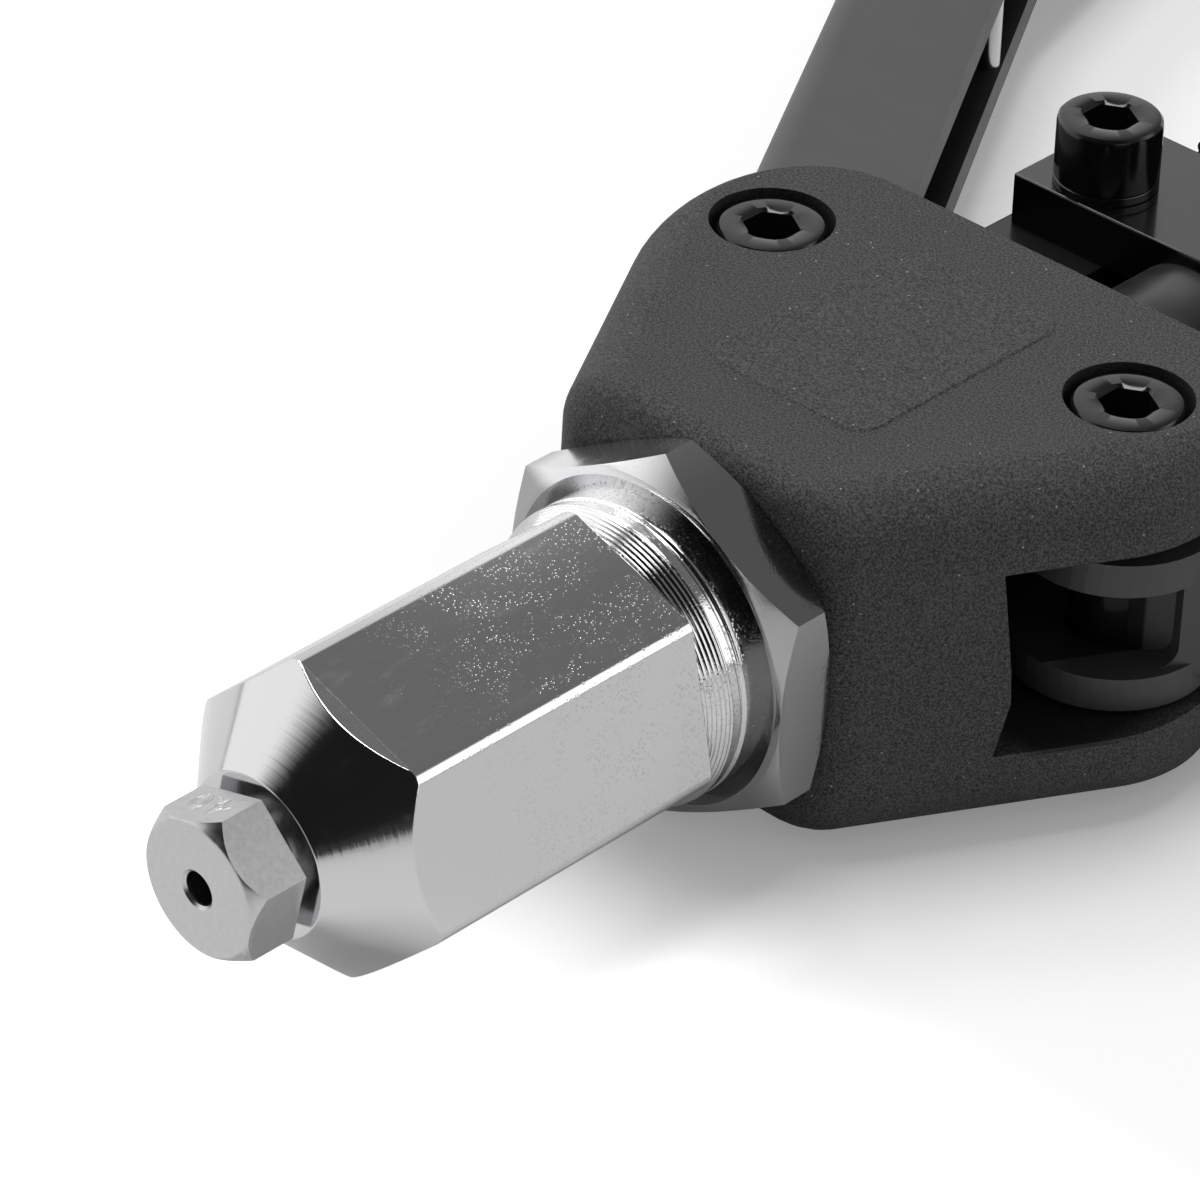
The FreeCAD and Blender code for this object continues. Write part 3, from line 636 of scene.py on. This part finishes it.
class RIVETER_OT_nose_housing(bpy.types.Operator):
    """Hexagonal nose housing with its turned cone, thread and collar"""

    bl_idname = "riveter.nose_housing"
    bl_label = "Nose housing"

    def execute(self, context):
        sizes = context.scene.riveter_sizes
        flat = sizes.housing_flats / 2 / MM
        corner = flat / math.cos(HALF_SIXTH) + 0.02
        front, cone_tip = 8.5, 9.8
        cone_front = front + 0.1
        bm = bmesh.new()
        turned(bm, [
            (NOSE_SEAT_RADIUS, front), (9.5, front), (cone_tip, cone_front),
            (corner, cone_front + corner - cone_tip), (corner, HEXAGON_REAR - 0.1),
            (corner - 0.15, HEXAGON_REAR), (HOUSING_BORE, HEXAGON_REAR), (HOUSING_BORE, NOSE_SEAT_REAR),
            (NOSE_SEAT_RADIUS, NOSE_SEAT_REAR)], ROUND_STEPS)
        cut_flats(bm, sizes.housing_flats, sizes.housing_turn, sizes.corner_radius)
        spigot = bmesh.new()
        turned(spigot, self.spigot_outline(flat, sizes.thread_pitch / MM), ROUND_STEPS)
        add_shell(bm, spigot)
        finishes = context.scene.riveter_finishes
        chrome = chrome_plate("housing_chrome", finishes.chrome, 14.0, 42.0, corner - 1.2)
        new_piece(bm, "nose_housing", chrome, 0.12 * MM)
        return {"FINISHED"}

    def spigot_outline(self, flat, pitch):
        """The spigot's outline: thread crests that widen, a collar, a groove and the part in the body."""
        collar = THREAD_RADIUS - 0.05
        groove = THREAD_RADIUS - 0.3
        outline = [(HOUSING_BORE, HEXAGON_REAR), (flat + 0.05, HEXAGON_REAR)]
        place = HEXAGON_REAR + 0.3
        crest = flat + 0.2
        while place < HEXAGON_REAR + 3.0:
            outline += [(crest, place), (crest - 0.14, place + 0.14), (crest + 0.06, place + 0.28)]
            place += pitch
            crest = min(crest + 0.22, collar)
        outline += [
            (collar, place + 0.1), (collar, place + 1.1), (groove, place + 1.3), (groove, place + 1.7),
            (THREAD_RADIUS, place + 1.9), (THREAD_RADIUS, THREAD_REAR - 0.8),
            (THREAD_RADIUS - 0.8, THREAD_REAR), (HOUSING_BORE, THREAD_REAR)]
        return outline


class RIVETER_OT_lock_nut(bpy.types.Operator):
    """Lock nut with chamfered faces"""

    bl_idname = "riveter.lock_nut"
    bl_label = "Lock nut"

    def execute(self, context):
        sizes = context.scene.riveter_sizes
        flat = sizes.lock_nut_flats / 2 / MM
        corner = flat / math.cos(HALF_SIXTH) + 0.02
        slope = (corner - flat) * math.tan(HALF_SIXTH)
        front, rear = 66.0, BODY_FRONT
        lead_in = 1.8
        bm = bmesh.new()
        turned(bm, [
            (THREAD_RADIUS, front + lead_in), (THREAD_RADIUS + lead_in, front), (flat - 0.6, front),
            (flat, front + 0.1), (corner, front + 0.1 + slope), (corner, rear - 0.1 - slope),
            (flat, rear - 0.1), (flat - 0.6, rear), (THREAD_RADIUS, rear)], ROUND_STEPS)
        cut_flats(bm, sizes.lock_nut_flats, sizes.lock_nut_turn)
        finishes = context.scene.riveter_finishes
        chrome = chrome_plate("lock_nut_chrome", shaded(finishes.chrome, 0.6), 60.0, 90.0, front + 0.6)
        new_piece(bm, "lock_nut", chrome, sizes.edge)
        return {"FINISHED"}


def body_outline(flank_inset, rear_inset, radius):
    """Plan outline of the casting: slanting flanks and round rear corners."""
    slope = math.radians(30)
    centre_y = BODY_REAR - rear_inset - radius
    centre_x = PIVOT_X + (FLANK_DISTANCE - flank_inset - radius
                          + (centre_y - PIVOT_Y) * math.sin(slope)) / math.cos(slope)
    corner = []
    for degrees in range(-30, 91, 4):
        turn = math.radians(degrees)
        corner.append((centre_x + radius * math.cos(turn), centre_y + radius * math.sin(turn)))
    start_x, start_y = corner[0]
    right = [(start_x - (start_y - BODY_FRONT) * math.tan(slope), BODY_FRONT)] + corner
    return right + [(-x, y) for x, y in reversed(right)]


def bridged(levels):
    """A closed shell through level outlines, given as (height, outline) in millimetres."""
    bm = bmesh.new()
    rings = []
    for z, outline in levels:
        corners = [bm.verts.new((x * MM, y * MM, z * MM)) for x, y in outline]
        rings.append([bm.edges.new(pair) for pair in zip(corners, corners[1:] + corners[:1])])
    for lower, upper in zip(rings, rings[1:]):
        bmesh.ops.bridge_loops(bm, edges=lower + upper)
    for ring in (rings[0], rings[-1]):
        bmesh.ops.contextual_create(bm, geom=ring)
    bmesh.ops.recalc_face_normals(bm, faces=bm.faces)
    return bm


def body_blank():
    """The casting's outside: drafted flanks, rounded upper and lower edges and a rounded front."""
    flank_draft, rear_draft = 0.5, 0.3
    middle_radius, edge_radius, top_loss = 20.0, 19.5, 7.0
    last_turn, turn_step = 84, 7
    last_rise = math.sin(math.radians(last_turn))
    upper = []
    for degrees in range(0, last_turn + 1, turn_step):
        turn = math.radians(degrees)
        across = 1 - math.cos(turn)
        z = BODY_TOP - EDGE_RADIUS * (last_rise - math.sin(turn))
        upper.append((z, body_outline(
            flank_draft + EDGE_RADIUS * across, rear_draft * across, edge_radius - top_loss * across)))
    lower = [(-z, outline) for z, outline in reversed(upper)]
    bm = bridged(lower + [(0.0, body_outline(0.0, 0.0, middle_radius))] + upper)
    front = [f for f in bm.faces if all(v.co.y < (BODY_FRONT + 0.01) * MM for v in f.verts)]
    face = bmesh.ops.dissolve_faces(bm, faces=front)["region"][0]
    bmesh.ops.bevel(bm, geom=face.edges[:], offset=3.4 * MM, offset_type="OFFSET", segments=6,
                    profile=0.5, affect="EDGES", material=-1, clamp_overlap=False)
    return bm


def prism(outline, run):
    """A closed bar: an outline of points, pushed along a run."""
    bm = bmesh.new()
    face = bm.faces.new([bm.verts.new(Vector(point) * MM) for point in outline])
    pushed = bmesh.ops.extrude_face_region(bm, geom=[face])["geom"]
    moved = [v for v in pushed if isinstance(v, bmesh.types.BMVert)]
    bmesh.ops.translate(bm, verts=moved, vec=Vector(run) * MM)
    bmesh.ops.recalc_face_normals(bm, faces=bm.faces)
    return bm


def round_bar(radius, start, run):
    """A closed round bar from a centre point along Y or Z."""
    x, y, z = start
    outline = []
    for k in range(FINE_STEPS):
        turn = 2 * math.pi * (k + 0.5) / FINE_STEPS
        across, along = radius * math.cos(turn), radius * math.sin(turn)
        outline.append((x + across, y, z + along) if run[1] else (x + across, y + along, z))
    return prism(outline, run)


def raised_panel():
    """Low panel with rounded corners and softly sloping edges."""
    middle, corner_x, corner_y, corner_radius = 104.2, 9.0, 14.0, 3.0
    sunk, height, edge_slope = 1.0, 0.2, 0.3
    levels = []
    for z, spread in ((BODY_TOP - sunk, edge_slope), (BODY_TOP, edge_slope), (BODY_TOP + height, 0.0)):
        radius = corner_radius + spread
        outline = []
        for side_x, side_y, first in ((1, -1, -90), (1, 1, 0), (-1, 1, 90), (-1, -1, 180)):
            for k in range(9):
                turn = math.radians(first + 11.25 * k)
                outline.append((side_x * corner_x + radius * math.cos(turn),
                                middle + side_y * corner_y + radius * math.sin(turn)))
        levels.append((z, outline))
    return bridged(levels)


def shaped(bm, tool, operation="DIFFERENCE"):
    """The solid in one bmesh, cut by or joined with another."""
    parts = []
    for source in (bm, tool):
        mesh = bpy.data.meshes.new("blank")
        source.to_mesh(mesh)
        source.free()
        parts.append(bpy.data.objects.new("blank", mesh))
        bpy.context.scene.collection.objects.link(parts[-1])
    change = parts[0].modifiers.new("Shape", "BOOLEAN")
    change.operation = operation
    change.solver = "EXACT"
    change.object = parts[1]
    bpy.context.view_layer.update()
    result = bmesh.new()
    result.from_object(parts[0], bpy.context.evaluated_depsgraph_get())
    for part in parts:
        mesh = part.data
        bpy.data.objects.remove(part)
        bpy.data.meshes.remove(mesh)
    return result


class RIVETER_OT_casting(bpy.types.Operator):
    """Cast body: front block, two plates, screw seats and a low panel"""

    bl_idname = "riveter.casting"
    bl_label = "Body casting"

    def execute(self, context):
        finishes = context.scene.riveter_finishes
        coating = textured_coating("textured_coating", finishes.casting)
        guide_radius, pivot_radius = 9.3, 5.0
        body = shaped(body_blank(), raised_panel(), "UNION")
        body = shaped(body, self.space_between_plates())
        body = shaped(body, round_bar(THREAD_RADIUS, (0, BODY_FRONT - 1, 0), (0, 11.0, 0)))
        body = shaped(body, round_bar(guide_radius, (0, THREAD_REAR - 1, 0), (0, 12.0, 0)))
        for side in (-1, 1):
            x = side * PIVOT_X
            body = shaped(body, round_bar(SCREW_SEAT_RADIUS, (x, PIVOT_Y, SCREW_SEAT_FLOOR), (0, 0, 9.5)))
            body = shaped(body, round_bar(pivot_radius, (x, PIVOT_Y, -20.0), (0, 0, 40.0)))
            body = shaped(body, self.nut_pocket(x))
        keep_flat(new_piece(body, "body_casting", coating, 0.0, 30.0))
        return {"FINISHED"}

    def space_between_plates(self):
        """What is cut out between the plates, with a front wall that bulges a little."""
        side, rear = -60.0, BODY_REAR + 1.0
        return prism([
            (side, rear, INNER_BOTTOM), (side, INNER_FRONT, INNER_BOTTOM), (side, INNER_FRONT + 1.3, -4.7),
            (side, INNER_FRONT, INNER_TOP), (side, rear, INNER_TOP)], (-2 * side, 0, 0))

    def nut_pocket(self, x):
        """The hexagonal pocket of a pivot's nut, cut from below."""
        bottom, depth = -23.8, 8.1
        outline = []
        for k in range(6):
            turn = math.radians(60 * k)
            outline.append((x + NUT_POCKET_CORNER * math.cos(turn),
                            PIVOT_Y + NUT_POCKET_CORNER * math.sin(turn), bottom))
        return prism(outline, (0, 0, depth))


def socket_screw(bm, centre, seat, bottom, shank):
    """Socket head screw, its hexagonal socket shaped from round loops."""
    top = seat + 8.0
    head = 6.5
    socket_flat, socket_loop, socket_depth = 3.0, 3.2, 4.0
    screw = bmesh.new()
    turned(screw, [
        (0.0, top - socket_depth - 0.6), (socket_loop, top - socket_depth), (socket_loop, top - 0.35),
        (3.75, top), (head - 0.9, top), (head - 0.4, top - 0.12), (head - 0.1, top - 0.45),
        (head, top - 0.95), (head, seat + 0.2), (head - 0.2, seat), (shank, seat),
        (shank, bottom + 0.6), (shank - 0.6, bottom), (0.0, bottom)], FINE_STEPS, "Z", centre)
    middle = Vector((centre[0] * MM, centre[1] * MM, 0))
    for vert in screw.verts:
        out = vert.co - middle
        reach = math.hypot(out.x, out.y)
        on_loop = socket_flat * MM < reach < (socket_loop + 0.2) * MM
        if on_loop and vert.co.z / MM > top - socket_depth - 0.3:
            angle = math.atan2(out.y, out.x)
            folded = (angle - HALF_SIXTH) % (2 * HALF_SIXTH) - HALF_SIXTH
            wanted = socket_flat * MM / math.cos(folded)
            vert.co.x = middle.x + out.x * wanted / reach
            vert.co.y = middle.y + out.y * wanted / reach
    add_shell(bm, screw)


class RIVETER_OT_screws(bpy.types.Operator):
    """Socket screws of the pivots and of the crosshead"""

    bl_idname = "riveter.screws"
    bl_label = "Socket screws"

    def execute(self, context):
        finishes = context.scene.riveter_finishes
        oxide = black_oxide("screw_oxide", shaded(finishes.oxide, 0.5), 0.11, 0.2, 0.36)
        for name, x, y, seat, bottom in (
                ("pivot_screws", PIVOT_X, PIVOT_Y, SCREW_SEAT_FLOOR, -22.2),
                ("crosshead_screws", 19.1, 166.5, 12.0, -21.7)):
            bm = bmesh.new()
            for side in (-1, 1):
                socket_screw(bm, (side * x, y), seat, bottom, 4.0)
            new_piece(bm, name, oxide, 0.0, 30.0)
        return {"FINISHED"}


class RIVETER_OT_arms(bpy.types.Operator):
    """Channel arms with softened edges, their cross pins and grips"""

    bl_idname = "riveter.arms"
    bl_label = "Arms"

    def execute(self, context):
        finishes = context.scene.riveter_finishes
        coating = smooth_coating("arm_coating", finishes.arms)
        pin_steel = ground_steel("pin_steel", (0.62, 0.62, 0.63), 0.2)
        rubber = soft_rubber("grip_rubber", finishes.rubber)
        for side in ("left", "right"):
            softened_node("arm_" + side, coating, 0.9, segments=3)
            dress_node("arm_pin_" + side, pin_steel)
            softened_node("grip_" + side, rubber, 0.5, segments=3)
        return {"FINISHED"}


class RIVETER_OT_crosshead(bpy.types.Operator):
    """Crosshead plates, follower bars and their fasteners"""

    bl_idname = "riveter.crosshead"
    bl_label = "Crosshead"

    def execute(self, context):
        finishes = context.scene.riveter_finishes
        plate = black_oxide("plate_oxide", shaded(finishes.oxide, 0.3), 0.2, 0.03, 0.12, 10.3)
        bar = black_oxide("bar_oxide", shaded(finishes.oxide, 0.5), 0.3, 0.05, 0.3)
        oxide = black_oxide("fastener_oxide", shaded(finishes.oxide, 0.6), 0.2)
        for nodes, finish, edge in (
                (("crosshead_top_plate", "crosshead_bottom_plate"), plate, 0.5),
                (("follower_bar_left", "follower_bar_right"), bar, 0.5),
                (("crosshead_washers", "crosshead_nuts", "pivot_nuts"), oxide, 0.15)):
            for node in nodes:
                softened_node(node, finish, edge, 30.0)
        return {"FINISHED"}


def wire_spring(bm, radius, wire, y0, y1, turns):
    """A helix of round wire between two places on the tool axis."""
    ring = bmesh.ops.create_circle(bm, segments=10, radius=wire * MM)["verts"]
    bmesh.ops.translate(bm, verts=ring, vec=(radius * MM, (y0 + wire) * MM, 0))
    steps = 32 * turns
    rise = (y1 - y0 - 2 * wire) * MM
    bmesh.ops.spin(bm, geom=ring + bm.edges[:], cent=(0, 0, 0), axis=(0, 1, 0),
                   angle=2 * math.pi * turns, steps=steps, dvec=(0, rise / steps, 0))
    open_edges = [e for e in bm.edges if e.is_boundary]
    bmesh.ops.holes_fill(bm, edges=open_edges, sides=0)
    bmesh.ops.recalc_face_normals(bm, faces=bm.faces)


class RIVETER_OT_inner_parts(bpy.types.Operator):
    """Pull tube, jaw set, springs, sleeves and rings inside the tool"""

    bl_idname = "riveter.inner_parts"
    bl_label = "Inner parts"

    def execute(self, context):
        bright = ground_steel("bright_steel", (0.15, 0.15, 0.152), 0.36)
        for node in ("pull_tube", "jaw_case", "case_lock_nut", "jaws", "jaw_pusher"):
            dress_node(node, bright)
        # Black oxide, made near black as painted shade for the parts that sit in the dark inside the body.
        oxide_painted_shade = black_oxide("oxide_painted_shade_steel", (0.003, 0.003, 0.003), 0.5, 0.02, 0.1)
        for node in ("pivot_sleeves", "spacer_rings", "thrust_washers"):
            dress_node(node, oxide_painted_shade)
        spring_steel = ground_steel("spring_steel", (0.4, 0.4, 0.41), 0.3)
        turns = context.scene.riveter_sizes.spring_turns
        for node, radius, wire, y0, y1, coils in (
                ("return_spring", 11.2, 0.95, 62.0, 84.0, turns),
                ("jaw_spring", 6.8, 1.0, 43.1, 50.0, 3)):
            bm = bmesh.new()
            wire_spring(bm, radius, wire, y0, y1, coils)
            new_piece(bm, node, spring_steel)
        return {"FINISHED"}


class RIVETER_OT_collector(bpy.types.Operator):
    """Collector cap and bottle"""

    bl_idname = "riveter.collector"
    bl_label = "Collector"

    def execute(self, context):
        plastic = moulded_plastic("collector_plastic", (0.03, 0.03, 0.031))
        for node, edge in (("collector_cap", 0.4), ("collector_bottle", 0.5)):
            softened_node(node, plastic, edge)
        return {"FINISHED"}


def soft_light(name, place, side, power):
    """A square studio light, aimed at the body's front."""
    aim = (0.0, 0.1, 0.0)
    lamp = bpy.data.lights.new(name, "AREA")
    lamp.shape = "RECTANGLE"
    lamp.size = side
    lamp.size_y = side
    lamp.energy = power
    holder = bpy.data.objects.new(name, lamp)
    bpy.context.scene.collection.objects.link(holder)
    holder.location = place
    holder.rotation_mode = "QUATERNION"
    holder.rotation_quaternion = (Vector(aim) - Vector(place)).to_track_quat("-Z", "Y")


class RIVETER_OT_stage(bpy.types.Operator):
    """Pale floor, soft light, surroundings and camera"""

    bl_idname = "riveter.stage"
    bl_label = "Studio"

    def execute(self, context):
        scene = context.scene
        scene.view_settings.view_transform = "Standard"
        self.floor()
        self.surroundings(scene)
        soft_light("key_light", (-0.12, 0.22, 1.25), 0.55, 8.0)
        soft_light("left_light", (-0.66, 0.0, 0.92), 0.34, 3.2)
        self.camera(scene)
        return {"FINISHED"}

    def floor(self):
        bm = bmesh.new()
        bmesh.ops.create_grid(bm, x_segments=4, y_segments=4, size=6.0)
        bmesh.ops.translate(bm, verts=bm.verts, vec=(0, 0, FLOOR_HEIGHT * MM))
        mesh = bpy.data.meshes.new("floor")
        bm.to_mesh(mesh)
        bm.free()
        floor = bpy.data.objects.new("floor", mesh)
        bpy.context.scene.collection.objects.link(floor)
        material = bpy.data.materials.new("floor_white")
        finish = Finish(material)
        paper = finish.node("ShaderNodeBsdfDiffuse", None, {"Color": grey(0.86)})
        camera_ray = finish.node("ShaderNodeLightPath", out="Is Camera Ray")
        glossy_ray = finish.node("ShaderNodeLightPath", out="Is Glossy Ray")
        # Painted light: the floor glows more in front of the body, below y 34-66 mm, so no shadow shows
        # under the nose.
        painted_light_ahead = finish.step(finish.axes()[1], 66 * MM, 34 * MM)
        white = (camera_ray + glossy_ray * 0.15) * (0.22 + 0.6 * painted_light_ahead)
        glow = finish.node("ShaderNodeEmission", None, {"Color": (1, 1, 1, 1), "Strength": white})
        shown = finish.node("ShaderNodeAddShader", None, {0: paper, 1: glow})
        finish.end("ShaderNodeOutputMaterial", Surface=shown)
        mesh.materials.append(material)

    def surroundings(self, scene):
        """White for the camera, dim for soft light, and a studio with dark sides for the metal."""
        world = bpy.data.worlds.new("studio")
        scene.world = world
        f = Finish(world)
        split = f.tree.nodes.new("ShaderNodeSeparateXYZ")
        f.fill(split.inputs[0], f.node("ShaderNodeTexCoord", out="Generated"))
        x, y, z = [Value(f, split.outputs[k]) for k in range(3)]
        path = f.tree.nodes.new("ShaderNodeLightPath")
        camera_ray = Value(f, path.outputs["Is Camera Ray"])
        glossy_ray = Value(f, path.outputs["Is Glossy Ray"])
        low = f.step(z, 0.2, 0.06)
        front = f.step(y, 0.05, -0.25)
        left = f.step(x, -0.22, -0.66)
        right_front = f.step(x, -0.1, 0.35) * front
        sweep = low * (1 - 0.97 * right_front)
        left_box = 1.25 * left * f.step(y, 0.35, 0.05) * f.step(z, 0.84, 0.5)
        right_box = 1.9 * f.step(x, 0.36, 0.62) * (1 - front) * f.step(z, 0.7, 0.5)
        rear_wall = (0.19 + 0.7 * f.step(x, -0.3, -0.56)) * (1 - front) * f.step(z, 0.99, 0.85) + 0.012
        metal = sweep
        for lit in (left_box, right_box, rear_wall):
            metal = f.node("ShaderNodeMath", {"operation": "MAXIMUM"}, {0: metal, 1: lit})
        soft = 0.27
        level = camera_ray + (1 - camera_ray) * (glossy_ray * metal + (1 - glossy_ray) * soft)
        light = f.node("ShaderNodeBackground", None, {"Color": (1, 1, 1, 1), "Strength": level})
        f.end("ShaderNodeOutputWorld", Surface=light)

    def camera(self, scene):
        """The photograph's own viewpoint."""
        yaw, pitch, roll = math.radians(43.56), math.radians(-33.79), math.radians(1.48)
        level = math.cos(pitch)
        forward = Vector((-math.sin(yaw) * level, math.cos(yaw) * level, math.sin(pitch)))
        level_right = Vector((math.cos(yaw), math.sin(yaw), 0))
        level_up = level_right.cross(forward)
        right = level_right * math.cos(roll) + level_up * math.sin(roll)
        up = level_up * math.cos(roll) - level_right * math.sin(roll)
        data = bpy.data.cameras.new("camera")
        data.lens = CAMERA_LENS
        data.sensor_width = 36.0
        data.clip_start = 0.02
        data.clip_end = 50.0
        holder = bpy.data.objects.new("camera", data)
        scene.collection.objects.link(holder)
        turn = Matrix((right, up, -forward)).transposed().to_4x4()
        holder.matrix_world = Matrix.Translation(CAMERA_PLACE) @ turn
        scene.camera = holder


STEPS = (
    RIVETER_OT_nosepiece,
    RIVETER_OT_nose_housing,
    RIVETER_OT_lock_nut,
    RIVETER_OT_casting,
    RIVETER_OT_screws,
    RIVETER_OT_arms,
    RIVETER_OT_crosshead,
    RIVETER_OT_inner_parts,
    RIVETER_OT_collector,
    RIVETER_OT_stage,
)


class RIVETER_PT_panel(bpy.types.Panel):
    """Lists the riveter's pieces"""

    bl_idname = "RIVETER_PT_panel"
    bl_label = "Riveter"
    bl_space_type = "VIEW_3D"
    bl_region_type = "UI"
    bl_category = "Riveter"

    def draw(self, context):
        layout = self.layout
        for group in (context.scene.riveter_sizes, context.scene.riveter_finishes):
            box = layout.box()
            for name in group.bl_rna.properties.keys():
                if name not in ("rna_type", "name"):
                    box.prop(group, name)
        for step in STEPS:
            layout.operator(step.bl_idname)


CLASSES = (RiveterSizes, RiveterFinishes) + STEPS + (RIVETER_PT_panel,)


def register():
    for item in CLASSES:
        bpy.utils.register_class(item)
    bpy.types.Scene.riveter_sizes = PointerProperty(type=RiveterSizes)
    bpy.types.Scene.riveter_finishes = PointerProperty(type=RiveterFinishes)


def unregister():
    del bpy.types.Scene.riveter_finishes
    del bpy.types.Scene.riveter_sizes
    for item in reversed(CLASSES):
        bpy.utils.unregister_class(item)


def main():
    register()
    for step in STEPS:
        group, name = step.bl_idname.split(".")
        getattr(getattr(bpy.ops, group), name)()


if __name__ == "__main__":
    main()
